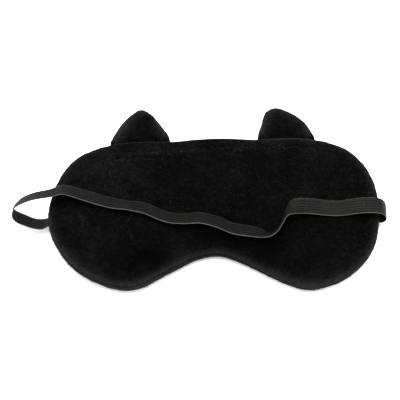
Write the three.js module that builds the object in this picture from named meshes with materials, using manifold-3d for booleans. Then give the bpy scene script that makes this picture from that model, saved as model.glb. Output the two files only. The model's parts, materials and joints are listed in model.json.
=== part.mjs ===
// Padded sleep eye mask with two sewn-in cat ears and an elastic head strap.
//
// Millimetres, +Z up. The mask lies on its front panel, so the side that meets the face is on
// top. The front panel rests on z = 0, the ears point along +Y and the nose notch opens to -Y.

import * as THREE from 'three';
import { mergeVertices } from 'three/addons/utils/BufferGeometryUtils.js';
import Module from 'manifold-3d';

const wasm = await Module();
wasm.setup();

// ---------------------------------------------------------------- driving dimensions

const GAP = 0.3; // clearance between pieces that touch
const HALF_GAP = GAP / 2;
const SEAM_Z = 8; // height of the edge seam above the resting face
const EDGE_STEPS = 72; // points round the mask's outline

const PLUSH_T = 1.6; // plush cloth with its pile
const BACK_RISE = 8; // back panel's crown above the seam
const BACK_CROWN = 24; // distance from the edge to the flat of the crown
const FRONT_DROP = 8; // front panel's depth below the seam
const FRONT_CROWN = 20;
const FRONT_BULGE = 1.1; // how far the front panel swells out past the seam
const ALLOWANCE = 8.5; // seam allowance, turned in

const FILL_INSET = 9.2; // filling's edge, measured from the seam
const LINER_T = 0.8;

const THREAD_R = 0.3;
const THREAD_INSET = 4.6; // seam thread, measured from the seam
const TACK_INSET = 7.9; // middle of a bar tack's zigzag
const TACK_SWING = 0.7;
const TACK_STITCHES = 7;

const EAR_T = 1.3; // ear plush
const EAR_RISE = 4; // half thickness of a stuffed ear
const EAR_STEPS = 36;
const EAR_OFFSET = 2.2; // start of the loose ear, measured from the seam
const EAR_CORNER = 0.4; // how far its two base corners are drawn in
const EAR_TAB = { length: 34, inside: 6.5, outside: 1.6, thickness: 1.2 };

const STRAP_W = 10;
const STRAP_T = 0.9;
const STRAP_TAB_IN = 7.5; // strap end caught in the seam
const STRAP_TAB_GAP = 0.6; // between that flat end and the strap that bends away from it

const TAG = { length: 24, out: 5.2, thickness: 0.7, inside: 5.5, offset: 3 };
const TAG_SPAN = [0.078, 0.122]; // its ends, as shares of the way round the seam line

// Seam line, seen from above, anticlockwise from the right-hand side.
const OUTLINE = [
  [102.6, -5], [100.5, 20.3], [86.7, 42.5], [64, 51.4], [26, 51.2], [0, 51.8],
  [-26, 49.9], [-67, 47], [-90, 35.5], [-103.4, 9], [-103, -11.8], [-89, -34.8],
  [-66.8, -47.6], [-50, -49], [-31, -39.3], [-12, -29.9], [2, -27.1], [16, -32.1],
  [40, -44.5], [58, -50.1], [81.2, -42.6], [97.5, -25.2],
];

// Ears: the two ends of the base on the seam, then the free edge from right to left.
const LEFT_EAR = {
  base: [[-68, 46.9], [-27.4, 50]],
  edge: [[-29.6, 55.2], [-34.6, 62.9], [-41.1, 70.4], [-47.6, 73.6], [-54.2, 69.6], [-61, 61.1], [-65.9, 52.3]],
};
const RIGHT_EAR = {
  base: [[26.4, 51.2], [65.6, 51.2]],
  edge: [[63.8, 55], [58.6, 63.8], [50, 71], [38.6, 75], [32.6, 71.4], [29.4, 61.3], [27.1, 54.1]],
};

// Strap's centre line from the left seam to the right seam: x, y, z and, in degrees, how far
// the strap's width is tipped away from level about X.
const STRAP_ROUTE = [
  [-105.2, -7, 8, 0], [-108.6, -7.2, 8.3, -12], [-112.8, -7.2, 9.2, -26], [-118.8, -5.9, 11.6, -22],
  [-123.7, -4.6, 14.2, -22], [-126, -3.2, 17, -30], [-124.5, -0.7, 20.6, -46], [-120.1, 1.8, 23.4, -40],
  [-112.5, 4.2, 25.2, -37], [-102.5, 6.2, 25.4, -34], [-95.1, 8.9, 24.6, -29], [-90.1, 9, 22.6, -24],
  [-80, 6.8, 20, -22], [-64.9, 2.3, 19.8, -23], [-54.8, 0.4, 20.2, -29], [-44.7, -1.2, 19.8, -22],
  [-29.6, -7.4, 19.4, -24], [-19.5, -8.6, 19.8, -25], [-9.4, -8.2, 20.2, -22], [0.6, -10.4, 19.6, -20],
  [10.7, -14.9, 19.4, -23], [20.8, -16.8, 19.6, -23], [28.6, -18.8, 20.6, -34], [33.8, -20.2, 21.6, -54],
  [38.2, -17.8, 23, -62], [41.2, -13.4, 25, -58], [43.6, -8.4, 26.4, -42], [46.8, -4.4, 26.9, -12],
  [51.6, -2.6, 25.8, 12], [59, -1.4, 22.8, 14], [75.6, -1, 18.6, 10], [90.7, -0.1, 21, 14],
  [100.8, -0.4, 21.6, 10], [104.8, -0.5, 18.6, 2], [106.8, -1.2, 14, -4], [106.2, -1.2, 9.9, 0],
  [103.7, -1, 8, 0],
];
const LEFT_LOOP_END = 10; // route points where the strap leaves its two end loops
const RIGHT_LOOP_START = 32;
const STEPS_PER_POINT = 3;

const COLOURS = {
  plush: { color: 0x0b0b0c, roughness: 0.95 },
  wadding: { color: 0xe6e4df, roughness: 1 },
  liner: { color: 0x1b1b20, roughness: 0.8 },
  thread: { color: 0x141414, roughness: 0.7 },
  elastic: { color: 0x2b2c27, roughness: 0.85 },
  satin: { color: 0xf3f3f1, roughness: 0.5 },
};

const mask = new THREE.Group();

// ---------------------------------------------------------------- shared shapes

function addPart(name, geometry, colour) {
  geometry.computeVertexNormals();
  const material = new THREE.MeshStandardMaterial({ ...COLOURS[colour], metalness: 0 });
  const part = new THREE.Mesh(geometry, material);
  part.name = name;
  mask.add(part);
}

// The two coordinates of a flat ring in the plane that it lies closest to.
function flatten(ring) {
  const normal = new THREE.Vector3();
  const cross = new THREE.Vector3();
  ring.forEach((point, i) => normal.add(cross.crossVectors(point, ring[(i + 1) % ring.length])));
  const size = normal.toArray().map(Math.abs);
  const drop = size.indexOf(Math.max(...size));
  const axes = ['x', 'y', 'z'].filter((axis, i) => i !== drop);
  return ring.map((point) => new THREE.Vector2(point[axes[0]], point[axes[1]]));
}

// Triangles that close a ring, running the same way round as the ring does.
function capFaces(ring) {
  const flat = flatten(ring);
  const clockwise = THREE.ShapeUtils.isClockWise(flat);
  return THREE.ShapeUtils.triangulateShape(flat, []).map((face) => {
    const same = THREE.ShapeUtils.isClockWise(face.map((i) => flat[i])) === clockwise;
    return same ? face : [...face].reverse();
  });
}

function signedVolume(points, faces) {
  const cross = new THREE.Vector3();
  const volumes = faces.map(([a, b, c]) => cross.crossVectors(points[a], points[b]).dot(points[c]) / 6);
  return volumes.reduce((sum, volume) => sum + volume, 0);
}

function meshFrom(points, faces) {
  const outward = signedVolume(points, faces) > 0 ? faces : faces.map((face) => [...face].reverse());
  const geometry = new THREE.BufferGeometry().setFromPoints(points);
  geometry.setIndex(outward.flat());
  return geometry;
}

// A skin through rings of equal length. It is capped at both ends, or joined up when round.
function loft(rings, round = false) {
  const count = rings[0].length;
  const faces = [];
  const spans = round ? rings.length : rings.length - 1;
  for (let i = 0; i < spans; i += 1) {
    const here = i * count;
    const next = ((i + 1) % rings.length) * count;
    for (let j = 0; j < count; j += 1) {
      const k = (j + 1) % count;
      faces.push([here + j, here + k, next + k], [here + j, next + k, next + j]);
    }
  }
  if (!round) {
    const last = (rings.length - 1) * count;
    capFaces(rings[0]).forEach((face) => faces.push([...face].reverse()));
    capFaces(rings[rings.length - 1]).forEach((face) => faces.push(face.map((i) => i + last)));
  }
  return meshFrom(rings.flat(), faces);
}

function toSolid(geometry) {
  const plain = geometry.clone();
  plain.deleteAttribute('normal');
  plain.deleteAttribute('uv');
  const merged = mergeVertices(plain, 1e-4);
  return new wasm.Manifold(new wasm.Mesh({
    numProp: 3,
    vertProperties: new Float32Array(merged.attributes.position.array),
    triVerts: new Uint32Array(merged.index.array),
  }));
}

function toGeometry(solid) {
  const cut = solid.getMesh();
  const geometry = new THREE.BufferGeometry();
  geometry.setAttribute('position', new THREE.BufferAttribute(new Float32Array(cut.vertProperties), 3));
  geometry.setIndex(new THREE.BufferAttribute(new Uint32Array(cut.triVerts), 1));
  return geometry;
}

// A flat plate: size along its own x and y, thickness along z, turned about Z, at seam height.
function plate(length, depth, thickness, { x, y, turn }) {
  return new THREE.BoxGeometry(length, depth, thickness).rotateZ(turn).translate(x, y, SEAM_Z);
}

// ---------------------------------------------------------------- the mask's outline

const flatPoint = ([x, y]) => new THREE.Vector3(x, y, 0);
const curve = new THREE.CatmullRomCurve3(OUTLINE.map(flatPoint), true, 'centripetal');
const edge = curve.getSpacedPoints(EDGE_STEPS).slice(0, EDGE_STEPS);
const inward = edge.map((here, i) => {
  const before = edge.at(i - 1);
  const after = edge[(i + 1) % EDGE_STEPS];
  return new THREE.Vector3(before.y - after.y, after.x - before.x, 0).normalize();
});

// The outline moved inwards by inset, at a height above (or below) the seam.
function edgeRing(inset, height) {
  return edge.map((point, i) => point.clone().addScaledVector(inward[i], inset).setZ(SEAM_Z + height));
}

// Rounded profile of a panel: angle 0 is at the edge, 90 on the flat of the crown.
function panelRing(angle, crown, rise, thickness, side, bulge = 0) {
  const turn = THREE.MathUtils.degToRad(angle);
  const swell = bulge * Math.sin(2 * turn) * Math.cos(turn);
  const inset = crown - (crown - thickness) * Math.cos(turn) - swell;
  return edgeRing(inset, side * (rise - thickness) * Math.sin(turn));
}

// ---------------------------------------------------------------- panels

// A plush panel: domed cloth with its seam allowance turned in along the seam.
function panelSolid(crown, rise, side, bulge) {
  const lip = HALF_GAP + PLUSH_T;
  const inner = [90, 62, 40, 22].map((angle) => panelRing(angle, crown, rise, PLUSH_T, side, bulge));
  const allowance = [
    edgeRing(THREAD_INSET - 1.2, side * lip),
    edgeRing(ALLOWANCE, side * lip),
    edgeRing(ALLOWANCE, side * HALF_GAP),
    edgeRing(0, side * HALF_GAP),
  ];
  const outer = [14, 28, 44, 64, 90].map((angle) => panelRing(angle, crown, rise, 0, side, bulge));
  return toSolid(loft([...inner, ...allowance, ...outer]));
}

function cutSlots(panel, slots) {
  return toGeometry(slots.reduce((solid, slot) => solid.subtract(toSolid(slot)), panel));
}

// ---------------------------------------------------------------- filling and threads

// One layer of filling: flat on the liner, rounded towards its panel.
function waddingGeometry(crown, rise, side) {
  const flat = side * (LINER_T / 2 + GAP);
  const height = rise - PLUSH_T - GAP - LINER_T / 2 - GAP;
  const rings = [edgeRing(FILL_INSET, flat)];
  [30, 60, 90].forEach((angle) => {
    const turn = THREE.MathUtils.degToRad(angle);
    const inset = crown - (crown - FILL_INSET) * Math.cos(turn);
    rings.push(edgeRing(inset, flat + side * height * Math.sin(turn)));
  });
  return loft(rings);
}

function linerGeometry() {
  return loft([edgeRing(FILL_INSET, -LINER_T / 2), edgeRing(FILL_INSET, LINER_T / 2)]);
}

// The thread that runs round the mask on one side of the turned-in allowance.
function seamThreadGeometry(side) {
  const height = side * (HALF_GAP + PLUSH_T + GAP + THREAD_R);
  const rings = [0, 90, 180, 270].map((angle) => {
    const turn = THREE.MathUtils.degToRad(angle);
    return edgeRing(THREAD_INSET + THREAD_R * Math.cos(turn), height + THREAD_R * Math.sin(turn));
  });
  return loft(rings, true);
}

// The zigzag of thread that holds one end of the strap.
function barTackGeometry([seamX, y]) {
  const side = Math.sign(seamX);
  const z = SEAM_Z + HALF_GAP + PLUSH_T + GAP + THREAD_R;
  const points = [];
  for (let i = 0; i <= TACK_STITCHES; i += 1) {
    const swing = i % 2 === 0 ? -TACK_SWING : TACK_SWING;
    const along = (i / TACK_STITCHES - 0.5) * (STRAP_W - 2);
    points.push(new THREE.Vector3(seamX - side * (TACK_INSET + swing), y + along, z));
  }
  const corners = [[1, 0], [0, 1], [-1, 0], [0, -1]];
  const section = new THREE.Shape(corners.map(([u, v]) => new THREE.Vector2(u, v).multiplyScalar(THREAD_R)));
  const extrudePath = new THREE.CatmullRomCurve3(points);
  return new THREE.ExtrudeGeometry(section, { steps: TACK_STITCHES * 4, extrudePath });
}

// ---------------------------------------------------------------- ears

// Where an ear's base lies on the seam: its middle, its direction and its outward normal.
function earBase({ base }) {
  const [left, right] = base.map(flatPoint);
  const along = right.clone().sub(left).normalize();
  const middle = left.clone().add(right).multiplyScalar(0.5);
  return { middle, along, out: new THREE.Vector3(-along.y, along.x, 0) };
}

function earOutline(ear) {
  const { along, out } = earBase(ear);
  const [left, right] = ear.base.map((corner) => flatPoint(corner).addScaledVector(out, EAR_OFFSET));
  left.addScaledVector(along, EAR_CORNER);
  right.addScaledVector(along, -EAR_CORNER);
  const points = [right, ...ear.edge.map(flatPoint), left];
  return new THREE.CatmullRomCurve3(points, false, 'centripetal').getSpacedPoints(EAR_STEPS);
}

// The outline shrunk towards its middle, at a height above (or below) the seam.
function earRing(outline, scale, height) {
  const middle = new THREE.Vector3();
  outline.forEach((point) => middle.addScaledVector(point, 1 / outline.length));
  return outline.map((point) => point.clone().lerp(middle, 1 - scale).setZ(SEAM_Z + height));
}

// Rise of the stuffed ear, as a share of its height, against the shrinking of its outline.
const EAR_PROFILE = [[1, 0], [0.95, 0.42], [0.8, 0.7], [0.58, 0.9], [0.32, 1]];

function earShellGeometry(outline, side) {
  const outer = EAR_PROFILE.map(([scale, rise]) => (
    earRing(outline, scale, side * Math.max(HALF_GAP, rise * EAR_RISE))));
  const inner = EAR_PROFILE.slice(1).reverse().map(([scale, rise]) => (
    earRing(outline, scale * 0.9, side * Math.max(HALF_GAP, rise * EAR_RISE - EAR_T))));
  const lip = earRing(outline, 0.88, side * HALF_GAP);
  return loft([...inner, lip, ...outer]);
}

function earFillingGeometry(outline) {
  const height = EAR_RISE - EAR_T - GAP;
  const shape = [[0.3, -1], [0.55, -0.78], [0.72, 0], [0.55, 0.78], [0.3, 1]];
  return loft(shape.map(([scale, rise]) => earRing(outline, scale, rise * height)));
}

function earTab(ear, margin) {
  const { middle, along, out } = earBase(ear);
  const depth = EAR_TAB.inside + EAR_TAB.outside;
  const centre = middle.clone().addScaledVector(out, (EAR_TAB.outside - EAR_TAB.inside) / 2);
  const place = { x: centre.x, y: centre.y, turn: Math.atan2(along.y, along.x) };
  return plate(EAR_TAB.length + 2 * margin, depth + 2 * margin, EAR_TAB.thickness + 2 * margin, place);
}

function addEar(name, ear) {
  const outline = earOutline(ear);
  addPart(`${name}_front`, earShellGeometry(outline, -1), 'plush');
  addPart(`${name}_back`, earShellGeometry(outline, 1), 'plush');
  addPart(`${name}_filling`, earFillingGeometry(outline), 'wadding');
  addPart(`${name}_tab`, earTab(ear, 0), 'plush');
}

// ---------------------------------------------------------------- strap

const strapCurve = new THREE.CatmullRomCurve3(STRAP_ROUTE.map(([x, y, z]) => new THREE.Vector3(x, y, z)));
const lastPoint = STRAP_ROUTE.length - 1;

// The strap's four corners at a place on its route, counted in route points.
function strapSection(place) {
  const centre = strapCurve.getPoint(place / lastPoint);
  const tangent = strapCurve.getTangent(place / lastPoint);
  const before = Math.floor(place);
  const after = Math.min(before + 1, lastPoint);
  const tilt = THREE.MathUtils.lerp(STRAP_ROUTE[before][3], STRAP_ROUTE[after][3], place - before);
  const turn = THREE.MathUtils.degToRad(tilt);
  const width = new THREE.Vector3(0, Math.cos(turn), Math.sin(turn));
  width.addScaledVector(tangent, -width.dot(tangent)).normalize();
  const normal = new THREE.Vector3().crossVectors(tangent, width);
  return [[1, 1], [-1, 1], [-1, -1], [1, -1]].map(([u, v]) => (
    centre.clone().addScaledVector(width, u * STRAP_W / 2).addScaledVector(normal, v * STRAP_T / 2)));
}

// A stretch of strap; trim, in route points, leaves the clearance to the next stretch.
function strapGeometry(from, to, trimFrom, trimTo) {
  const rings = [];
  const steps = (to - from) * STEPS_PER_POINT;
  for (let i = 0; i <= steps; i += 1) {
    rings.push(strapSection(THREE.MathUtils.lerp(from + trimFrom, to - trimTo, i / steps)));
  }
  return loft(rings);
}

// The flat end of the strap inside the seam.
function strapTab([x, y], margin) {
  const side = Math.sign(x);
  const inner = x - side * (STRAP_TAB_GAP + STRAP_TAB_IN);
  const outer = x - side * STRAP_TAB_GAP;
  const length = Math.abs(outer - inner) + 2 * margin;
  return plate(length, STRAP_W + 2 * margin, STRAP_T + 2 * margin, { x: (inner + outer) / 2, y, turn: 0 });
}

// ---------------------------------------------------------------- side tag

const tagEnds = TAG_SPAN.map((share) => curve.getPointAt(share));
const tagAlong = tagEnds[0].clone().sub(tagEnds[1]).normalize();
const tagOut = new THREE.Vector3(-tagAlong.y, tagAlong.x, 0);
const tagMiddle = tagEnds[0].clone().add(tagEnds[1]).multiplyScalar(0.5);

function tagPlate(from, to, margin) {
  const centre = tagMiddle.clone().addScaledVector(tagOut, (from + to) / 2);
  const place = { x: centre.x, y: centre.y, turn: Math.atan2(tagAlong.y, tagAlong.x) };
  return plate(TAG.length + 2 * margin, to - from + 2 * margin, TAG.thickness + 2 * margin, place);
}

// ---------------------------------------------------------------- assembly

const leftEnd = STRAP_ROUTE[0];
const rightEnd = STRAP_ROUTE[lastPoint];

const slots = [
  earTab(LEFT_EAR, GAP),
  earTab(RIGHT_EAR, GAP),
  strapTab(leftEnd, GAP),
  strapTab(rightEnd, GAP),
  tagPlate(-TAG.inside, TAG.offset - GAP, GAP),
];

addPart('front_panel', cutSlots(panelSolid(FRONT_CROWN, FRONT_DROP, -1, FRONT_BULGE), slots), 'plush');
addPart('back_panel', cutSlots(panelSolid(BACK_CROWN, BACK_RISE, 1, 0), slots), 'plush');
addPart('wadding_front', waddingGeometry(FRONT_CROWN, FRONT_DROP, -1), 'wadding');
addPart('wadding_back', waddingGeometry(BACK_CROWN, BACK_RISE, 1), 'wadding');
addPart('blackout_liner', linerGeometry(), 'liner');
addPart('seam_thread_front', seamThreadGeometry(-1), 'thread');
addPart('seam_thread_back', seamThreadGeometry(1), 'thread');
addPart('left_bar_tack', barTackGeometry(leftEnd), 'thread');
addPart('right_bar_tack', barTackGeometry(rightEnd), 'thread');

addEar('left_ear', LEFT_EAR);
addEar('right_ear', RIGHT_EAR);

addPart('strap_left_tab', strapTab(leftEnd, 0), 'elastic');
addPart('strap_left_loop', strapGeometry(0, LEFT_LOOP_END, 0, 0.03), 'elastic');
addPart('strap_band', strapGeometry(LEFT_LOOP_END, RIGHT_LOOP_START, 0, 0), 'elastic');
addPart('strap_right_loop', strapGeometry(RIGHT_LOOP_START, lastPoint, 0.06, 0), 'elastic');
addPart('strap_right_tab', strapTab(rightEnd, 0), 'elastic');

addPart('side_tag_hem', tagPlate(-TAG.inside, TAG.offset - GAP, 0), 'satin');
addPart('side_tag', tagPlate(TAG.offset, TAG.offset + TAG.out, 0), 'satin');

export default mask;
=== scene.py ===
import itertools
import json
import math

import bmesh
import bpy
import numpy as np
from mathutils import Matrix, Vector


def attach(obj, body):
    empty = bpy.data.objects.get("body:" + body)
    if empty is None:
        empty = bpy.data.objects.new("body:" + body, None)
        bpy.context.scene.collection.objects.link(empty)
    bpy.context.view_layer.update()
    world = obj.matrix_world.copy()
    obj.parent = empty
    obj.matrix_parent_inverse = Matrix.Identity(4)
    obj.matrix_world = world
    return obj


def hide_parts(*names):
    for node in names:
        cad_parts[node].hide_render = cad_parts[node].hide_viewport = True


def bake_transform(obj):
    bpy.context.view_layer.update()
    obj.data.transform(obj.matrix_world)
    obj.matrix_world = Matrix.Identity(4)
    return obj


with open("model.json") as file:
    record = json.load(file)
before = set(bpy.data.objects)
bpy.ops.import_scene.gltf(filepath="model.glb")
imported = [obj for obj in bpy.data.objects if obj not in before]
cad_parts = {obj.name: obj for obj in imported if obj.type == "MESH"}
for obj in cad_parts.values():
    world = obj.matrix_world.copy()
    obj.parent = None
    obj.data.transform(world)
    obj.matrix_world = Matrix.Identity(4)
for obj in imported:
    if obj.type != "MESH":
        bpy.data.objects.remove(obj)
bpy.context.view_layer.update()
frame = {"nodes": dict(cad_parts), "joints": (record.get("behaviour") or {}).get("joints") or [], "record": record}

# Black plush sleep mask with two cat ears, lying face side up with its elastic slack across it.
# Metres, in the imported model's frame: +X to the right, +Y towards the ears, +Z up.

scene = bpy.context.scene

# ---------------------------------------------------------------- driving sizes

MM = 0.001
TINY = 1e-9
BLOCK = 20000  # points looked at together
SEAM_Z = 8 * MM  # height of the edge seam above the resting face
SEAM_GAP = 0.15 * MM  # half the space between the two panels along the seam

LINER_INSET = 9.2 * MM  # the liner's edge, measured from the seam
CLOTH_T = 1.6 * MM  # plush with its pile
ALLOWANCE = 8.5 * MM  # seam allowance, turned in
TOP_LIMIT = 16.2 * MM  # the mask's crown stays under the strap

PUFF_PRESSURE = 4
PUFF_FRAMES = 20
START_INSET = -0.8 * MM  # remeshing and puffing draw the edge in
START_DROP = 1.9 * MM  # the crown starts this much lower, since puffing raises it
CROWN = 22 * MM  # distance from the seam to the flat of the crown
CROWN_ANGLES = (-90, -66, -44, -24, -8, 8, 24, 44, 66, 90)  # its rings, in degrees from the seam
LINING_ANGLES = (24, 42, 64, 90)
MASK_FORM = {"voxel": 4.6 * MM, "cap": 1.9 * MM, "slack": 0.02, "levels": 3}
EAR_FORM = {"voxel": 2.4 * MM, "cap": 0.9 * MM, "slack": 0.02, "levels": 2}
MASK_RING = 144  # points round an outline
EAR_RING = 48
EDGE_FINE = 6  # times as many along the finished edge
EAR_START = 3.1 * MM  # half thickness of an ear before it swells
EAR_TUCK = 3.2 * MM  # how far an ear's base goes into the seam
EAR_PINCH = 0.22  # an ear's thickness at its base, as a share
EAR_PROFILE = ((0.32, 1), (0.58, 0.9), (0.8, 0.7), (0.93, 0.42), (0.97, 0.1))  # shares of outline, height
EAR_LINING = ((0.84, SEAM_GAP), (0.76, 1.1 * MM), (0.56, 2 * MM), (0.32, 2.4 * MM))  # share, height
MASK_EDGE = {  # the edge's rounding: level at the seam, then rounding inwards over its rise
    "flat": 1.4 * MM, "rise": 6.9 * MM, "round": 11 * MM, "proud": 0.3 * MM,
    "groove": 1.1 * MM, "groove_half": 0.8 * MM,
}
EAR_EDGE = {
    "flat": 0.4 * MM, "rise": 3.4 * MM, "round": 4.5 * MM, "proud": 0.25 * MM,
    "groove": 0.5 * MM, "groove_half": 0.45 * MM,
}
FRONT_SWELL = 1.3 * MM  # how far the front panel swells out past the seam
SWELL_DROP = 3.4 * MM  # the swelling's height below the seam
SWELL_HALF = 2.4 * MM
SEAM_SAG = 2.6 * MM  # how far the seam sags at the right lobe
SAG_HALF = 5 * MM

# Places along the edge, and how far each one's effect reaches.
LEFT_LOBE, LEFT_REACH = (-46 * MM, -46 * MM), 38 * MM
RIGHT_LOBE, RIGHT_REACH = (62 * MM, -48 * MM), 42 * MM
# The top middle and the left ear's base get less of the painted sheen along the rim.
TOP_MIDDLE, TOP_REACH = (2 * MM, 51 * MM), 52 * MM
LEFT_EAR_BASE, EAR_BASE_REACH = (-48 * MM, 48 * MM), 22 * MM

# Unevenness of the plush: height and size of the bumps, one layer after another.
MASK_BUMPS = ((0.45 * MM, 34 * MM), (0.2 * MM, 13 * MM), (0.07 * MM, 3.1 * MM), (0.1 * MM, 1.4 * MM))
EAR_BUMPS = ((0.25 * MM, 9 * MM), (0.12 * MM, 2.6 * MM))

PILE = 0.6 * MM  # height of a tuft
EAR_PILE = 0.5 * MM
PILE_PITCH = 0.55 * MM  # side of a face that bears a full tuft
PILE_LEAN = 0.45
PILE_JITTER = 0.4
NAP_PATCH = 14 * MM  # size of a patch of pile that leans one way
MASK_RIM_SHEEN_FADE = 2.4 * MM  # the stretch over which the painted sheen along the rim fades
EAR_RIM_SHEEN_FADE = 3.3 * MM

# Creases and marks in the crown: start, end, half width, depth (raised where negative) and shade, which paints
# shade into a sunken crease and a highlight onto a raised mark.
CREASES = [
    ((-0.0610, 0.0362), (-0.0610, 0.0362), 0.0021, 0.0018, 0.35),
    ((-0.0540, 0.0362), (-0.0330, 0.0356), 0.0012, 0.0004, 0.08),
    ((0.0038, 0.0032), (0.0158, -0.0003), 0.0013, 0.0007, 0.3),
    ((0.0070, -0.0062), (0.0134, -0.0094), 0.0012, 0.0005, 0.25),
    ((-0.0850, -0.0030), (-0.0815, -0.0085), 0.0007, -0.0004, 0.3),
    ((-0.0525, -0.0160), (-0.0512, -0.0205), 0.0006, -0.0004, 0.3),
]

# Patches of painted sheen on the pile, paler, and of painted shade where the amount is negative: middle, radius
# and amount.
PAINTED_LIGHT_PATCHES = [
    ((-0.070, 0.030), 0.026, 0.14), ((-0.028, -0.025), 0.013, 0.05), ((0.004, -0.026), 0.018, -0.22),
    ((-0.035, -0.036), 0.014, -0.16), ((0.034, -0.028), 0.016, -0.10), ((0.072, 0.024), 0.020, 0.06),
    ((-0.046, 0.041), 0.012, 0.05), ((0.066, -0.046), 0.014, 0.12), ((-0.080, -0.034), 0.014, 0.04),
    ((0.020, 0.038), 0.020, 0.04), ((-0.096, -0.020), 0.014, -0.04), ((-0.078, -0.016), 0.014, 0.08),
    ((-0.056, 0.061), 0.008, 0.10), ((-0.042, 0.068), 0.006, -0.16), ((0.035, 0.070), 0.007, 0.10),
]

STRAP_W = 10 * MM
STRAP_T = 0.9 * MM
STRAP_RIBS = 6
STRAP_RELIEF = 0.2 * MM
STRAP_RINGS = 360
STRAP_STEPS = 41
STRAP_THREAD = 0.75 * MM  # pitch of its crosswise threads
STRAP_EDGE_HIGHLIGHT = 0.455  # where the painted highlight along each edge starts, as a share of its width
STRAP_SEWN = 6 * MM  # strap end caught in the seam
RIBBON_SQUARE = 0.35  # how far a ribbon's width turns with a bend, 1 for square to its path
TAG_T = 0.16 * MM
TAG_FOLD = 0.3 * MM  # radius of the fold
TAG_BELLY = 0.25 * MM  # how far each layer bows out
TAG_STEPS = 16
FOLD_STEPS = 9
TAG_WIDTH_STEPS = 25

# Strap's centre line from seam to seam: x, y, z and, in degrees, how far its width is tipped.
STRAP_ROUTE = [
    (-0.1048, -0.0058, 0.0080, -34), (-0.1082, -0.0072, 0.0083, -26), (-0.1128, -0.0072, 0.0092, -26),
    (-0.1188, -0.0059, 0.0116, -22), (-0.1237, -0.0046, 0.0142, -22), (-0.1258, -0.0032, 0.0170, -30),
    (-0.1245, -0.0007, 0.0206, -46), (-0.1201, 0.0018, 0.0234, -40), (-0.1125, 0.0042, 0.0252, -37),
    (-0.1025, 0.0062, 0.0254, -34), (-0.0951, 0.0089, 0.0246, -29), (-0.0901, 0.0090, 0.0226, -24),
    (-0.0800, 0.0068, 0.0200, -22), (-0.0649, 0.0023, 0.0198, -23), (-0.0548, 0.0004, 0.0202, -29),
    (-0.0447, -0.0012, 0.0198, -22), (-0.0296, -0.0074, 0.0194, -24), (-0.0195, -0.0086, 0.0198, -25),
    (-0.0094, -0.0082, 0.0202, -22), (0.0006, -0.0104, 0.0196, -20), (0.0107, -0.0149, 0.0194, -23),
    (0.0208, -0.0168, 0.0196, -23), (0.0286, -0.0188, 0.0206, -34), (0.0338, -0.0202, 0.0216, -54),
    (0.0382, -0.0178, 0.0230, -62), (0.0412, -0.0134, 0.0250, -58), (0.0436, -0.0084, 0.0264, -42),
    (0.0468, -0.0044, 0.0269, -12), (0.0516, -0.0026, 0.0258, 12), (0.0590, -0.0014, 0.0228, 14),
    (0.0756, -0.0010, 0.0186, 10), (0.0907, -0.0001, 0.0210, 14), (0.1008, -0.0004, 0.0216, 10),
    (0.1048, -0.0005, 0.0186, 2), (0.1066, -0.0012, 0.0140, -4), (0.1060, -0.0012, 0.0099, 0),
    (0.1037, -0.0010, 0.0080, 0),
]


# ---------------------------------------------------------------- camera, light and floor

CAMERA_TARGET = Vector((-9.45 * MM, 9.7 * MM, SEAM_Z))
CAMERA_ELEVATION = math.radians(65)
CAMERA_DISTANCE = 1.05
CAMERA_LENS = 150
CAMERA_SENSOR = 36
FLOOR_HALF = 3.0
FLOOR_DROP = 0.1 * MM
FLOOR_GREY = 0.93


def aim(obj, target):
    obj.rotation_euler = (target - obj.location).to_track_quat("-Z", "Y").to_euler()


def add_camera():
    camera = bpy.data.objects.new("camera", bpy.data.cameras.new("camera"))
    camera.data.lens = CAMERA_LENS
    camera.data.sensor_width = CAMERA_SENSOR
    camera.data.clip_start = 0.01
    away = Vector((0, -math.cos(CAMERA_ELEVATION), math.sin(CAMERA_ELEVATION)))
    camera.location = CAMERA_TARGET + away * CAMERA_DISTANCE
    aim(camera, CAMERA_TARGET)
    scene.collection.objects.link(camera)
    scene.camera = camera


def add_softbox(name, azimuth, elevation, distance, size, watts):
    """A square area light, azimuth measured from the camera's side, anticlockwise from above."""
    light = bpy.data.lights.new(name, "AREA")
    light.shape = "SQUARE"
    light.size = size
    light.energy = watts
    obj = bpy.data.objects.new(name, light)
    turn, rise = math.radians(azimuth), math.radians(elevation)
    direction = (math.sin(turn) * math.cos(rise), -math.cos(turn) * math.cos(rise), math.sin(rise))
    obj.location = CAMERA_TARGET + Vector(direction) * distance
    aim(obj, CAMERA_TARGET)
    scene.collection.objects.link(obj)


def add_floor():
    mesh = bpy.data.meshes.new("floor")
    corners = [(x * FLOOR_HALF, y * FLOOR_HALF, 0) for x, y in ((-1, -1), (1, -1), (1, 1), (-1, 1))]
    mesh.from_pydata(corners, [], [(0, 1, 2, 3)])
    floor = bpy.data.objects.new("floor", mesh)
    floor.location.z = -FLOOR_DROP
    material, shader = new_material("floor_white")
    shader.inputs["Base Color"].default_value = (FLOOR_GREY, FLOOR_GREY, FLOOR_GREY, 1)
    shader.inputs["Roughness"].default_value = 0.9
    mesh.materials.append(material)
    scene.collection.objects.link(floor)


def light_world(strength):
    scene.world = bpy.data.worlds.new("studio")
    scene.world.use_nodes = True
    background = scene.world.node_tree.nodes["Background"]
    background.inputs["Color"].default_value = (1, 1, 1, 1)
    background.inputs["Strength"].default_value = strength


# ---------------------------------------------------------------- materials

def new_material(name):
    material = bpy.data.materials.new(name)
    material.use_nodes = True
    return material, material.node_tree.nodes["Principled BSDF"]


def add_node(material, kind, **values):
    """A shader node with its settings, and its inputs where a name is an input's."""
    node = material.node_tree.nodes.new(kind)
    for name, value in values.items():
        if hasattr(node, name):
            setattr(node, name, value)
        else:
            node.inputs[name.replace("_", " ")].default_value = value
    return node


def link(material, source, target):
    material.node_tree.links.new(source, target)


def coordinates(material, attribute=None):
    """The piece's own coordinates, or one of its stored ones."""
    if attribute:
        return add_node(material, "ShaderNodeAttribute", attribute_name=attribute).outputs["Vector"]
    return add_node(material, "ShaderNodeTexCoord").outputs["Object"]


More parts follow.
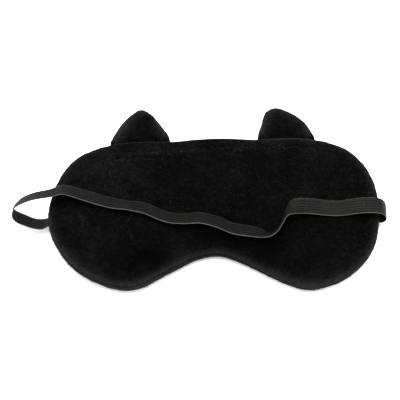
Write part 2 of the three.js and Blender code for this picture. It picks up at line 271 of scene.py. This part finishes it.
def add_noise(material, places, scale, detail=2.0, roughness=0.5):
    node = add_node(material, "ShaderNodeTexNoise", Scale=scale, Detail=detail, Roughness=roughness)
    link(material, places, node.inputs["Vector"])
    return node.outputs["Fac"]


def add_ramp(material, factor, stops):
    """Colours or greys against a factor, as (place, colour) pairs."""
    ramp = add_node(material, "ShaderNodeValToRGB")
    elements = ramp.color_ramp.elements
    while len(elements) < len(stops):
        elements.new(0.5)
    for element, (place, colour) in zip(elements, stops):
        element.position = place
        element.color = (*colour, 1)
    link(material, factor, ramp.inputs["Fac"])
    return ramp.outputs["Color"]


def add_math(material, operation, a, b=0):
    node = add_node(material, "ShaderNodeMath", operation=operation)
    for socket, value in zip(node.inputs, (a, b)):
        if isinstance(value, (int, float)):
            socket.default_value = value
        else:
            link(material, value, socket)
    return node.outputs["Value"]


def add_weighted(material, *layers):
    """The sum of (factor, weight) pairs."""
    total = None
    for factor, weight in layers:
        part = add_math(material, "MULTIPLY", factor, weight)
        total = part if total is None else add_math(material, "ADD", total, part)
    return total


def add_bump(material, shader, height, distance, strength=1.0, under=None):
    bump = add_node(material, "ShaderNodeBump", Strength=strength, Distance=distance)
    link(material, height, bump.inputs["Height"])
    if under is not None:
        link(material, under, bump.inputs["Normal"])
    link(material, bump.outputs["Normal"], shader.inputs["Normal"])
    return bump.outputs["Normal"]


def grey(value, warm=0.0):
    return (value * (1 + warm), value * (1 + warm / 2), value * (1 - warm))


def plush_material():
    """Short black pile: brushed patches, clumps, fibres and the stored painted sheen and shade."""
    material, shader = new_material("plush_black")
    places = coordinates(material, "rest")
    patches = add_noise(material, places, scale=60, detail=4, roughness=0.55)
    fibres = add_noise(material, places, scale=1900, detail=3, roughness=0.7)
    clumps = add_noise(material, places, scale=420, detail=4, roughness=0.6)
    # the stored painted sheen and shade, lightening the rims and raised marks and darkening creases and some
    # patches
    painted_sheen_shade = add_node(material, "ShaderNodeAttribute", attribute_name="painted_sheen_shade").outputs["Fac"]
    tone = add_weighted(material, (patches, 0.25), (fibres, 0.17), (clumps, 0.3), (painted_sheen_shade, 0.45))
    colour = add_ramp(material, tone, [
        (0.24, grey(0.0003)), (0.36, grey(0.002)), (0.5, grey(0.0075)), (0.85, grey(0.029)),
    ])
    link(material, colour, shader.inputs["Base Color"])
    shader.inputs["Roughness"].default_value = 0.95
    shader.inputs["Specular IOR Level"].default_value = 0.02
    shader.inputs["Sheen Weight"].default_value = 0.08
    shader.inputs["Sheen Roughness"].default_value = 0.35
    under = add_bump(material, shader, clumps, distance=0.5 * MM, strength=0.7)
    add_bump(material, shader, fibres, distance=0.35 * MM, strength=0.8, under=under)
    return material


def elastic_material():
    """Braided elastic: lengthwise ribs with fine crosswise threads and a painted highlight along each edge."""
    material, shader = new_material("elastic_charcoal")
    split = add_node(material, "ShaderNodeSeparateXYZ")
    lie = coordinates(material, "lie")
    link(material, lie, split.inputs["Vector"])
    along, across = split.outputs["X"], split.outputs["Y"]
    rib_turn = add_math(material, "MULTIPLY", across, 2 * math.pi * STRAP_RIBS / STRAP_W)
    rib_wave = add_math(material, "SINE", rib_turn)
    thread_turn = add_weighted(material, (along, 2 * math.pi / STRAP_THREAD), (rib_wave, 0.9))
    thread_wave = add_math(material, "SINE", thread_turn)
    mottle = add_noise(material, coordinates(material), scale=700, detail=3, roughness=0.6)
    # a painted highlight along both edges of the strap
    from_middle = add_math(material, "ABSOLUTE", across)
    edge = add_math(material, "GREATER_THAN", from_middle, STRAP_EDGE_HIGHLIGHT * STRAP_W)
    tone = add_weighted(material, (rib_wave, 0.16), (thread_wave, 0.07), (mottle, 1), (edge, 0.5))
    colour = add_ramp(material, tone, [
        (0.25, grey(0.0003, 0.14)), (0.55, grey(0.0017, 0.14)),
        (0.85, grey(0.009, 0.14)), (1.0, grey(0.05, 0.1)),
    ])
    link(material, colour, shader.inputs["Base Color"])
    shader.inputs["Roughness"].default_value = 0.5
    shader.inputs["Specular IOR Level"].default_value = 0.16
    shader.inputs["Specular Tint"].default_value = (1, 0.98, 0.9, 1)
    shader.inputs["Sheen Weight"].default_value = 0.01
    shader.inputs["Sheen Roughness"].default_value = 0.5
    add_bump(material, shader, thread_wave, distance=0.06 * MM, strength=0.8)
    return material


def satin_material():
    """Blank white ribbon, with fine threads across it."""
    material, shader = new_material("ribbon_white")
    places = coordinates(material)
    weave = add_node(material, "ShaderNodeTexWave", Scale=900, Distortion=0.5)
    link(material, places, weave.inputs["Vector"])
    tone = add_noise(material, places, scale=300)
    colour = add_ramp(material, tone, [(0.2, grey(0.74)), (0.8, grey(0.84))])
    link(material, colour, shader.inputs["Base Color"])
    shader.inputs["Roughness"].default_value = 0.45
    shader.inputs["Sheen Weight"].default_value = 0.2
    add_bump(material, shader, weave.outputs["Fac"], distance=0.03 * MM, strength=0.5)
    return material


def hidden_material(name, dark, light, scale, rough, bump):
    """A plain fibrous cloth, thread or wadding for the pieces inside."""
    material, shader = new_material(name)
    fibres = add_noise(material, coordinates(material), scale, detail=4, roughness=0.65)
    colour = add_ramp(material, fibres, [(0.3, dark), (0.7, light)])
    link(material, colour, shader.inputs["Base Color"])
    shader.inputs["Roughness"].default_value = rough
    shader.inputs["Sheen Weight"].default_value = 0.1
    add_bump(material, shader, fibres, bump, strength=0.8)
    return material


def finish_hidden_nodes():
    """The sewn-in and stuffed pieces, which keep their shapes and get their own cloth."""
    made = {
        "wadding": hidden_material("wadding_fibre", grey(0.62, 0.02), grey(0.84, 0.02), 500, 1.0, 0.4 * MM),
        "liner": hidden_material("liner_weave", grey(0.012), grey(0.03), 1400, 0.8, 0.1 * MM),
        "thread": hidden_material("thread_spun", grey(0.01), grey(0.03), 3000, 0.7, 0.1 * MM),
        "plush": plush,
    }
    for part in frame["record"]["subparts"]:
        node = frame["nodes"][part["node"]]
        if part["material_slot"] in made and not node.hide_render:
            node.data.materials.clear()
            node.data.materials.append(made[part["material_slot"]])


# ---------------------------------------------------------------- mesh helpers

def positions(mesh):
    flat = np.empty(len(mesh.vertices) * 3)
    mesh.vertices.foreach_get("co", flat)
    return flat.reshape(-1, 3)


def place(mesh, points):
    mesh.vertices.foreach_set("co", np.asarray(points, float).ravel())
    mesh.update()


def normals(mesh):
    flat = np.empty(len(mesh.vertices) * 3)
    mesh.vertex_normals.foreach_get("vector", flat)
    return flat.reshape(-1, 3)


def add_mesh(name, points, faces):
    mesh = bpy.data.meshes.new(name)
    mesh.from_pydata([tuple(p) for p in points], [], faces)
    mesh.validate()
    obj = bpy.data.objects.new(name, mesh)
    scene.collection.objects.link(obj)
    return obj


def bake_modifiers(obj):
    """The object's mesh as its modifiers leave it, with the modifiers gone."""
    scene_graph = bpy.context.evaluated_depsgraph_get()
    made = bpy.data.meshes.new_from_object(obj.evaluated_get(scene_graph))
    obj.modifiers.clear()
    obj.data = made


def remesh(obj, size):
    modifier = obj.modifiers.new("even", "REMESH")
    modifier.mode = "VOXEL"
    modifier.voxel_size = size
    bake_modifiers(obj)


def subdivide(obj, levels):
    modifier = obj.modifiers.new("smooth", "SUBSURF")
    modifier.levels = levels
    modifier.render_levels = levels
    bake_modifiers(obj)


def keep_rest(obj):
    """Stores each point's place at rest, so that a pattern stays put when the piece bends."""
    stored = obj.data.attributes.new("rest", "FLOAT_VECTOR", "POINT")
    stored.data.foreach_set("vector", positions(obj.data).ravel())


def keep_painted_sheen_shade(obj, ring, strength, fade):
    """Stores painted sheen and shade on the pile at each point: painted sheen along the edge, painted sheen and
    shade in patches, painted shade in creases and a painted highlight on raised marks.
    """
    points = positions(obj.data)
    depth, nearest = from_edge(points, ring)
    painted_sheen_shade = strength[nearest] * np.exp(-np.clip(depth, 0, None) / fade)
    # painted sheen and painted shade in patches
    for middle, radius, amount in PAINTED_LIGHT_PATCHES:
        painted_sheen_shade += amount * lobe(points[:, :2], middle, radius)
    # painted shade in sunken creases, painted highlight on raised marks
    for start, end, half_width, depth, shade in CREASES:
        painted_sheen_shade -= np.sign(depth) * press(points, start, end, half_width, shade)
    stored = obj.data.attributes.new("painted_sheen_shade", "FLOAT", "POINT")
    stored.data.foreach_set("value", painted_sheen_shade)


def hashed(cells, seed):
    """A number from 0 to 1 for each whole-numbered cell."""
    mixed = cells.astype(np.int64) @ np.array([374761393, 668265263, 2147483647]) + seed * 1274126177
    mixed = (mixed ^ (mixed >> 13)) * 1274126177
    return ((mixed ^ (mixed >> 16)) & 0xFFFFFF) / 0xFFFFFF


def noise(points, size, seed):
    """Smooth noise from -1 to 1, with bumps about that size."""
    scaled = points / size
    cell = np.floor(scaled)
    part = scaled - cell
    part = part * part * (3 - 2 * part)
    total = np.zeros(len(points))
    for corner in itertools.product((0, 1), repeat=3):
        share = np.prod(np.where(corner, part, 1 - part), axis=1)
        total += share * hashed(cell + corner, seed)
    return 2 * total - 1


def unevenness(points, layers, seed):
    return sum(height * noise(points, size, seed + i) for i, (height, size) in enumerate(layers))


def soft_step(value, low, high):
    t = np.clip((value - low) / (high - low), 0, 1)
    return t * t * (3 - 2 * t)


# ---------------------------------------------------------------- outlines from the frame

def node_points(node):
    return np.array([v.co for v in frame["nodes"][node].data.vertices], float)


def outer_ring(points):
    """The outermost points in order round their middle, where several share a direction."""
    flat = np.unique(np.round(points[:, :2], 7), axis=0)
    offset = flat - flat.mean(0)
    angle = np.round(np.arctan2(offset[:, 1], offset[:, 0]), 3)
    radius = np.linalg.norm(offset, axis=1)
    keep = [np.flatnonzero(angle == a)[np.argmax(radius[angle == a])] for a in np.unique(angle)]
    return flat[keep]


def resample(ring, count, steps=12):
    """A closed ring again with evenly spaced points: smooth between its own, or straight at 1 step."""
    fine = []
    for i in range(len(ring)):
        p0, p1, p2, p3 = (ring[(i + k) % len(ring)] for k in (-1, 0, 1, 2))
        for t in np.arange(steps) / steps:
            fine.append(0.5 * (2 * p1 + (p2 - p0) * t + (2 * p0 - 5 * p1 + 4 * p2 - p3) * t * t
                               + (3 * p1 - p0 - 3 * p2 + p3) * t ** 3))
    fine = np.array(fine + [fine[0]])
    travelled = np.concatenate([[0], np.cumsum(np.linalg.norm(np.diff(fine, axis=0), axis=1))])
    wanted = np.linspace(0, travelled[-1], count, endpoint=False)
    return np.stack([np.interp(wanted, travelled, fine[:, k]) for k in range(2)], axis=1)


def inward(ring):
    """Unit normals of an anticlockwise ring, pointing to its inside."""
    along = np.roll(ring, -1, axis=0) - np.roll(ring, 1, axis=0)
    return np.stack([-along[:, 1], along[:, 0]], axis=1) / np.linalg.norm(along, axis=1)[:, None]


def from_edge(points, ring):
    """For each point, how far it lies inside the ring, and the nearest ring point's number."""
    inside = inward(ring)
    nearest = np.empty(len(points), int)
    for start in range(0, len(points), BLOCK):
        apart = points[start:start + BLOCK, None, :2] - ring[None]
        nearest[start:start + BLOCK] = np.argmin((apart ** 2).sum(2), axis=1)
    depth = ((points[:, :2] - ring[nearest]) * inside[nearest]).sum(1)
    return depth, nearest


def inset_ring(ring, inset, height):
    """The ring moved inwards, at a height above the seam."""
    return np.c_[ring + inward(ring) * inset, np.full(len(ring), SEAM_Z + height)]


def shrunk_ring(ring, scale, height):
    """The ring shrunk towards its middle, at a height above the seam."""
    middle = ring.mean(0)
    return np.c_[middle + (ring - middle) * scale, np.full(len(ring), SEAM_Z + height)]


# ---------------------------------------------------------------- stuffed plush forms

def loft(rings, caps):
    """Points and faces of the skin through rings of equal length, with the named ends closed."""
    count = len(rings[0])
    faces = []
    for i, j in itertools.product(range(len(rings) - 1), range(count)):
        here, k = i * count, (j + 1) % count
        faces.append((here + j, here + k, here + count + k, here + count + j))
    if "first" in caps:
        faces.append(tuple(range(count))[::-1])
    if "last" in caps:
        faces.append(tuple(range((len(rings) - 1) * count, len(rings) * count)))
    return np.concatenate(rings), faces


def puff(obj, cap, slack):
    """Blows the form up as cloth, and keeps each point within cap of where it was."""
    start = positions(obj.data)
    cloth = obj.modifiers.new("puff", "CLOTH")
    cloth.settings.quality = 6
    cloth.settings.use_pressure = True
    cloth.settings.uniform_pressure_force = PUFF_PRESSURE
    cloth.settings.shrink_min = -slack
    cloth.settings.effector_weights.gravity = 0
    cloth.point_cache.frame_start = 1
    cloth.point_cache.frame_end = PUFF_FRAMES
    for step in range(1, PUFF_FRAMES + 1):
        scene.frame_set(step)
    bake_modifiers(obj)
    scene.frame_set(1)
    moved = positions(obj.data) - start
    distance = np.linalg.norm(moved, axis=1)
    share = cap * np.tanh(distance / cap) / np.maximum(distance, TINY)
    place(obj.data, start + moved * share[:, None])


def stuffed_form(name, rings, voxel, cap, slack, levels):
    """A closed skin through the rings, puffed up as cloth and then made fine and smooth."""
    form = add_mesh(name, *loft(rings, ("first", "last")))
    remesh(form, voxel)
    puff(form, cap, slack)
    subdivide(form, levels)
    return form


def fit_edge(points, ring, edge):
    """Sets the rounded edge along the ring: a roll of plush on each side of the sunken seam."""
    depth, nearest = from_edge(points, ring)
    height = np.abs(points[:, 2] - SEAM_Z)
    rounding = np.clip((height - edge["flat"]) / edge["rise"], 0, 1)
    wanted = edge["proud"] + edge["round"] * (1 - np.sqrt(1 - rounding ** 2))
    wanted += edge["groove"] * np.exp(-((height / edge["groove_half"]) ** 2))
    share = (1 - soft_step(height, 0.45 * edge["rise"], 0.85 * edge["rise"])) * (depth < 2 * edge["round"])
    points[:, :2] += inward(ring)[nearest] * ((wanted - depth) * share)[:, None]


def halve(form, side):
    """The half of a form above (side 1) or below (side -1) its seam."""
    half = bmesh.new()
    half.from_mesh(form.data)
    everything = half.verts[:] + half.edges[:] + half.faces[:]
    bmesh.ops.bisect_plane(half, geom=everything, plane_co=(0, 0, SEAM_Z + side * SEAM_GAP),
                           plane_no=(0, 0, -side), clear_outer=True)
    return half


def add_lining(half, rings):
    """Closes a half with the inside of its cloth: turned in along the seam, then up to its crown."""
    outer_edges = [e for e in half.edges if e.is_boundary]
    points, faces = loft(rings, ("last",))
    made = [half.verts.new(p) for p in points]
    for face in faces:
        half.faces.new([made[i] for i in face])
    first = set(made[:len(rings[0])])
    inner_edges = [e for e in half.edges if e.is_boundary and set(e.verts) <= first]
    bmesh.ops.bridge_loops(half, edges=outer_edges + inner_edges)
    bmesh.ops.recalc_face_normals(half, faces=half.faces[:])


def add_pile(mesh, outer, height, seed):
    """Raises a short tuft of pile on each of the first faces, leaning with the nap."""
    points = positions(mesh)
    faces = [tuple(p.vertices) for p in mesh.polygons]
    up = np.array([p.normal for p in mesh.polygons[:outer]])
    middle = np.array([points[list(f)].mean(0) for f in faces[:outer]])
    area = np.array([p.area for p in mesh.polygons[:outer]])
    brushed = noise(middle, NAP_PATCH, seed)
    lean = np.stack([noise(middle, NAP_PATCH / 2, seed + 1), -0.7 + 0.6 * brushed, np.zeros(outer)], axis=1)
    random = np.random.default_rng(seed)
    jitter = random.normal(0, PILE_JITTER, (outer, 3))
    tall = height * random.uniform(0.55, 1.25, outer) * np.clip(area / PILE_PITCH ** 2, 0.2, 1)
    tips = middle + (up + PILE_LEAN * lean + jitter) * tall[:, None]
    tips[:, 2] = np.maximum(tips[:, 2], 0)
    count = len(points)
    skin = []
    for i, face in enumerate(faces[:outer]):
        skin += [(here, there, count + i) for here, there in zip(face, face[1:] + face[:1])]
    made = bpy.data.meshes.new(mesh.name)
    made.from_pydata(np.concatenate([points, tips]), [], skin + faces[outer:])
    return made


def make_cover(name, form, side, lining, warp, pile, seed, node, painted_rim_sheen):
    """One plush panel as a closed piece: pile outside, cloth inside, the allowance turned in."""
    half = halve(form, side)
    outer = len(half.faces)
    add_lining(half, lining)
    mesh = bpy.data.meshes.new(name)
    half.to_mesh(mesh)
    half.free()
    place(mesh, warp(positions(mesh)))
    mesh = add_pile(mesh, outer, pile, seed)
    mesh.shade_smooth()
    mesh.materials.append(plush)
    cover = bpy.data.objects.new(name, mesh)
    scene.collection.objects.link(cover)
    keep_rest(cover)
    # stores the painted sheen along the rim, with the painted sheen and shade inside it
    keep_painted_sheen_shade(cover, *painted_rim_sheen)
    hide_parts(node)
    return cover


# ---------------------------------------------------------------- the mask's two panels

def press(points, start, end, half_width, depth):
    """How far a crease from start to end sinks each point, most along its middle."""
    start, end = np.array(start), np.array(end)
    along = end - start
    share = np.clip(((points[:, :2] - start) @ along) / max(along @ along, TINY), 0, 1)
    apart = np.linalg.norm(points[:, :2] - start - share[:, None] * along, axis=1)
    ends = 0.35 + 0.65 * np.sin(math.pi * share) if along @ along > TINY else 1.0
    return depth * ends * np.exp(-((apart / half_width) ** 2))


def lobe(ring_points, middle, radius):
    """1 at one place along the edge, fading to 0 within the radius."""
    return np.exp(-(((ring_points - np.array(middle)) ** 2).sum(1) / radius ** 2))


def shape_mask(form, ring):
    points = positions(form.data)
    fit_edge(points, ring, MASK_EDGE)
    up = normals(form.data)
    height = points[:, 2] - SEAM_Z
    clear = soft_step(np.abs(height), 0.6 * MM, 2.5 * MM)
    points += up * (unevenness(points, MASK_BUMPS, 11) * clear)[:, None]
    top = soft_step(height, 2 * MM, 6 * MM)
    for start, end, half_width, depth, _ in CREASES:
        points[:, 2] -= top * press(points, start, end, half_width, depth)
    points[:, 2] = TOP_LIMIT - soft_positive(TOP_LIMIT - points[:, 2], 0.5 * MM)
    points[:, 2] = soft_positive(points[:, 2], 0.3 * MM)
    place(form.data, points)


def soft_positive(value, rounding):
    """The value, bent smoothly so that it never falls below zero."""
    return 0.5 * (value + np.sqrt(value * value + rounding * rounding))


def settle_edge(ring):
    """The lie of the edge: the front swells out at the left lobe, and the right lobe's seam sags."""
    def warp(points):
        depth, nearest = from_edge(points, ring)
        height = points[:, 2] - SEAM_Z
        near = 1 - soft_step(depth, 4 * MM, 14 * MM)
        at = ring[nearest]
        out = -inward(ring)[nearest]
        swollen = 0.4 + lobe(at, LEFT_LOBE, LEFT_REACH) - 0.6 * lobe(at, RIGHT_LOBE, RIGHT_REACH)
        profile = np.exp(-(((height + SWELL_DROP) / SWELL_HALF) ** 2))
        points[:, :2] += out * (FRONT_SWELL * swollen * profile * near)[:, None]
        sag = SEAM_SAG * lobe(at, RIGHT_LOBE, RIGHT_REACH)
        points[:, 2] -= sag * near * np.exp(-((height / SAG_HALF) ** 2))
        points[:, 2] = np.maximum(points[:, 2], 0)
        return points
    return warp


def mask_lining(ring, side):
    """Rings of the inside of a panel: allowance at the seam, then the inner face of the cloth."""
    lip = SEAM_GAP + CLOTH_T
    rings = [inset_ring(ring, ALLOWANCE, side * SEAM_GAP), inset_ring(ring, ALLOWANCE, side * lip)]
    rings.append(inset_ring(ring, 0.4 * ALLOWANCE, side * lip))
    for angle in np.radians(LINING_ANGLES):
        inset = CROWN - (CROWN - 2 * CLOTH_T) * math.cos(angle)
        rings.append(inset_ring(ring, inset, side * (SEAM_Z - 1.4 * CLOTH_T) * math.sin(angle)))
    return rings


def build_mask():
    liner = resample(outer_ring(node_points("blackout_liner")), MASK_RING)
    seam = resample(liner - inward(liner) * LINER_INSET, MASK_RING)
    rings = []
    for angle in np.radians(CROWN_ANGLES):
        inset = START_INSET + CROWN * (1 - math.cos(angle))
        rings.append(inset_ring(seam, inset, (SEAM_Z - START_DROP) * math.sin(angle)))
    form = stuffed_form("mask_form", rings, **MASK_FORM)
    edge = resample(seam, EDGE_FINE * MASK_RING)
    shape_mask(form, edge)
    # how strong the painted sheen along the rim is: weaker along the top middle, none at the left ear's base
    brushed = 1 - 0.75 * lobe(edge, TOP_MIDDLE, TOP_REACH)
    brushed *= 1 - lobe(edge, LEFT_EAR_BASE, EAR_BASE_REACH)
    warp = settle_edge(edge)
    # the front panel gets a little more of the painted sheen along its rim
    for side, face, seed, share in ((1, "back", 21, 1), (-1, "front", 31, 1.05)):
        lining = mask_lining(seam, side)
        cover = make_cover(f"mask_{face}_cover", form, side, lining, warp, PILE, seed, f"{face}_panel",
                           (edge, share * brushed, MASK_RIM_SHEEN_FADE))
        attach(cover, "mask")
    bpy.data.objects.remove(form)


# ---------------------------------------------------------------- ears

def hinge(name):
    """A hinge's middle, and its outward direction across the mask's edge."""
    joint = next(j for j in frame["joints"] if j["name"] == name)
    axis = Vector(joint["axis"])
    out = Vector((-axis.y, axis.x, 0)).normalized()
    middle = Vector(joint["pos_m"])
    return middle, out if (middle.xy.dot(out.xy) > 0) else -out


def build_ear(name, seed):
    middle, out = hinge(f"{name}_flex")
    origin, out_flat = np.array(middle)[:2], np.array(out)[:2]
    shell = node_points(f"{name}_back")
    ring = outer_ring(shell[shell[:, 2] < SEAM_Z + MM])
    reach = (ring - origin) @ out_flat
    base = reach < reach.min() + 0.5 * MM
    ring[base] -= out_flat * (reach[base] + EAR_TUCK)[:, None]
    ring = resample(ring, EAR_RING, 1)
    rings = [shrunk_ring(ring, scale, -rise * EAR_START) for scale, rise in EAR_PROFILE]
    rings += [shrunk_ring(ring, scale, rise * EAR_START) for scale, rise in reversed(EAR_PROFILE)]
    form = stuffed_form(f"{name}_form", rings, **EAR_FORM)
    points = positions(form.data)
    edge = resample(ring, EDGE_FINE * EAR_RING, 1)
    fit_edge(points, edge, EAR_EDGE)
    # how strong the painted sheen along the ear's edge is: none at its base, full a few millimetres out
    strength = soft_step((edge - origin) @ out_flat, 1 * MM, 6 * MM)
    clear = soft_step(np.abs(points[:, 2] - SEAM_Z), 0.4 * MM, 1.5 * MM)
    points += normals(form.data) * (unevenness(points, EAR_BUMPS, seed) * clear)[:, None]
    place(form.data, points)

    def pinch(points):
        reach = (points[:, :2] - origin) @ out_flat
        thick = EAR_PINCH + (1 - EAR_PINCH) * soft_step(reach, -1 * MM, 9 * MM)
        points[:, 2] = SEAM_Z + (points[:, 2] - SEAM_Z) * thick
        return points

    for side, face in ((1, "back"), (-1, "front")):
        lining = [shrunk_ring(ring, scale, side * rise) for scale, rise in EAR_LINING]
        cover = make_cover(f"{name}_{face}_cover", form, side, lining, pinch, EAR_PILE, seed + 2 + side,
                           f"{name}_{face}", (edge, strength, EAR_RIM_SHEEN_FADE))
        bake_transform(cover)
    bpy.data.objects.remove(form)


# ---------------------------------------------------------------- strap

def spline(points, at):
    """A centripetal Catmull-Rom curve through points, at a place counted in points."""
    last = len(points) - 1
    i = min(int(at), last - 1)
    p1, p2 = points[i], points[i + 1]
    p0 = points[i - 1] if i > 0 else 2 * p1 - p2
    p3 = points[i + 2] if i + 2 <= last else 2 * p2 - p1
    d0, d1, d2 = (math.sqrt(np.linalg.norm((b - a)[:3])) for a, b in ((p0, p1), (p1, p2), (p2, p3)))
    t1 = ((p1 - p0) / d0 - (p2 - p0) / (d0 + d1) + (p2 - p1) / d1) * d1
    t2 = ((p2 - p1) / d1 - (p3 - p1) / (d1 + d2) + (p3 - p2) / d2) * d1
    t = at - i
    return p1 + t1 * t + (3 * (p2 - p1) - 2 * t1 - t2) * t ** 2 + (2 * (p1 - p2) + t1 + t2) * t ** 3


def ribbon_section(width, thickness, relief, waves, steps):
    """(across, through) points round a ribbon's section, with its ribs on both faces."""
    across = np.sin(np.linspace(-math.pi / 2, math.pi / 2, steps))
    across = 0.65 * across + 0.35 * np.linspace(-1, 1, steps)
    body = thickness / 2 * (1 - np.abs(across) ** 10) ** 0.5
    ribs = relief * 0.5 * (np.cos(2 * math.pi * waves * (across + 1) / 2) - 1) * (1 - across ** 8)
    top = np.stack([across * width / 2, body + ribs], axis=1)
    bottom = top[-2:0:-1] * np.array([1, -1])
    return np.concatenate([top, bottom])


def sweep(centres, widths, section):
    """Rings of the section along a path, and each point's (along, across) on the ribbon."""
    tangents = np.gradient(centres, axis=0)
    tangents /= np.linalg.norm(tangents, axis=1)[:, None]
    widths = widths - RIBBON_SQUARE * tangents * (widths * tangents).sum(1)[:, None]
    widths /= np.linalg.norm(widths, axis=1)[:, None]
    up = np.cross(tangents, widths)
    rings = [c + section[:, :1] * w + section[:, 1:] * n for c, w, n in zip(centres, widths, up)]
    travelled = np.concatenate([[0], np.cumsum(np.linalg.norm(np.diff(centres, axis=0), axis=1))])
    lie = [np.c_[np.full(len(section), s), section[:, 0], section[:, 1]] for s in travelled]
    return rings, np.concatenate(lie), travelled[-1]


def add_ribbon(name, centres, widths, section, material):
    rings, lie, length = sweep(centres, widths, section)
    ribbon = add_mesh(name, *loft(rings, ("first", "last")))
    ribbon.data.shade_smooth()
    ribbon.data.materials.append(material)
    stored = ribbon.data.attributes.new("lie", "FLOAT_VECTOR", "POINT")
    stored.data.foreach_set("vector", lie.ravel())
    keep_rest(ribbon)
    return ribbon, length


def build_strap(elastic):
    route = np.array(STRAP_ROUTE)
    places = np.linspace(0, len(route) - 1, STRAP_RINGS)
    samples = np.array([spline(route, at) for at in places])
    even = np.concatenate([[0], np.cumsum(np.linalg.norm(np.diff(samples[:, :3], axis=0), axis=1))])
    wanted = np.linspace(0, even[-1], STRAP_RINGS)
    samples = np.stack([np.interp(wanted, even, samples[:, k]) for k in range(4)], axis=1)
    sewn = np.array([STRAP_SEWN, 0, 0, 0])
    samples = np.concatenate([[samples[0] + sewn], samples, [samples[-1] - sewn]])
    tilt = np.radians(samples[:, 3])
    widths = np.stack([np.zeros(len(tilt)), np.cos(tilt), np.sin(tilt)], axis=1)
    section = ribbon_section(STRAP_W, STRAP_T, STRAP_RELIEF, STRAP_RIBS, STRAP_STEPS)
    strap, length = add_ribbon("elastic_strap", samples[:, :3], widths, section, elastic)
    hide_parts("strap_band", "strap_left_loop", "strap_right_loop",
                "strap_left_tab", "strap_right_tab")
    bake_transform(strap)


# ---------------------------------------------------------------- side tag

def build_tag(satin):
    """A ribbon folded in half, its two ends caught in the seam and its fold standing out."""
    middle, out = hinge("tag_flex")
    out.z = 0
    along = Vector((-out.y, out.x, 0))
    hem = node_points("side_tag_hem") - np.array(middle)
    flap = node_points("side_tag") - np.array(middle)
    start = (hem @ np.array(out)).min()
    end = (flap @ np.array(out)).max()
    span = flap @ np.array(along)
    length = span.max() - span.min()
    reach = np.linspace(start, end - TAG_FOLD, TAG_STEPS)
    lift = TAG_FOLD + TAG_BELLY * np.sin(np.linspace(0, math.pi, TAG_STEPS))
    turn = np.linspace(math.pi / 2, -math.pi / 2, FOLD_STEPS)[1:-1]
    path = list(zip(reach, lift))
    path += [(end - TAG_FOLD + TAG_FOLD * math.cos(a), TAG_FOLD * math.sin(a)) for a in turn]
    path += list(zip(reach[::-1], -lift[::-1]))
    centre = np.array(middle) + np.array(along) * (span.max() + span.min()) / 2
    centres = np.array([centre + np.array(out) * r + np.array((0, 0, z)) for r, z in path])
    widths = np.tile(np.array(along), (len(path), 1))
    section = ribbon_section(length, TAG_T, 0, 0, TAG_WIDTH_STEPS)
    tag, flat = add_ribbon("side_tag_ribbon", centres, widths, section, satin)
    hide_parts("side_tag", "side_tag_hem")
    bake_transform(tag)


# ---------------------------------------------------------------- assembly

add_camera()
plush = plush_material()
elastic = elastic_material()
satin = satin_material()
build_mask()
build_ear("left_ear", 41)
build_ear("right_ear", 51)
build_strap(elastic)
build_tag(satin)
finish_hidden_nodes()
add_floor()
light_world(1.35)
add_softbox("key", azimuth=150, elevation=86, distance=1.1, size=0.5, watts=29)
add_softbox("fill", azimuth=-15, elevation=32, distance=1.2, size=0.7, watts=6)
scene.view_settings.view_transform = "Standard"
scene.view_settings.gamma = 0.8
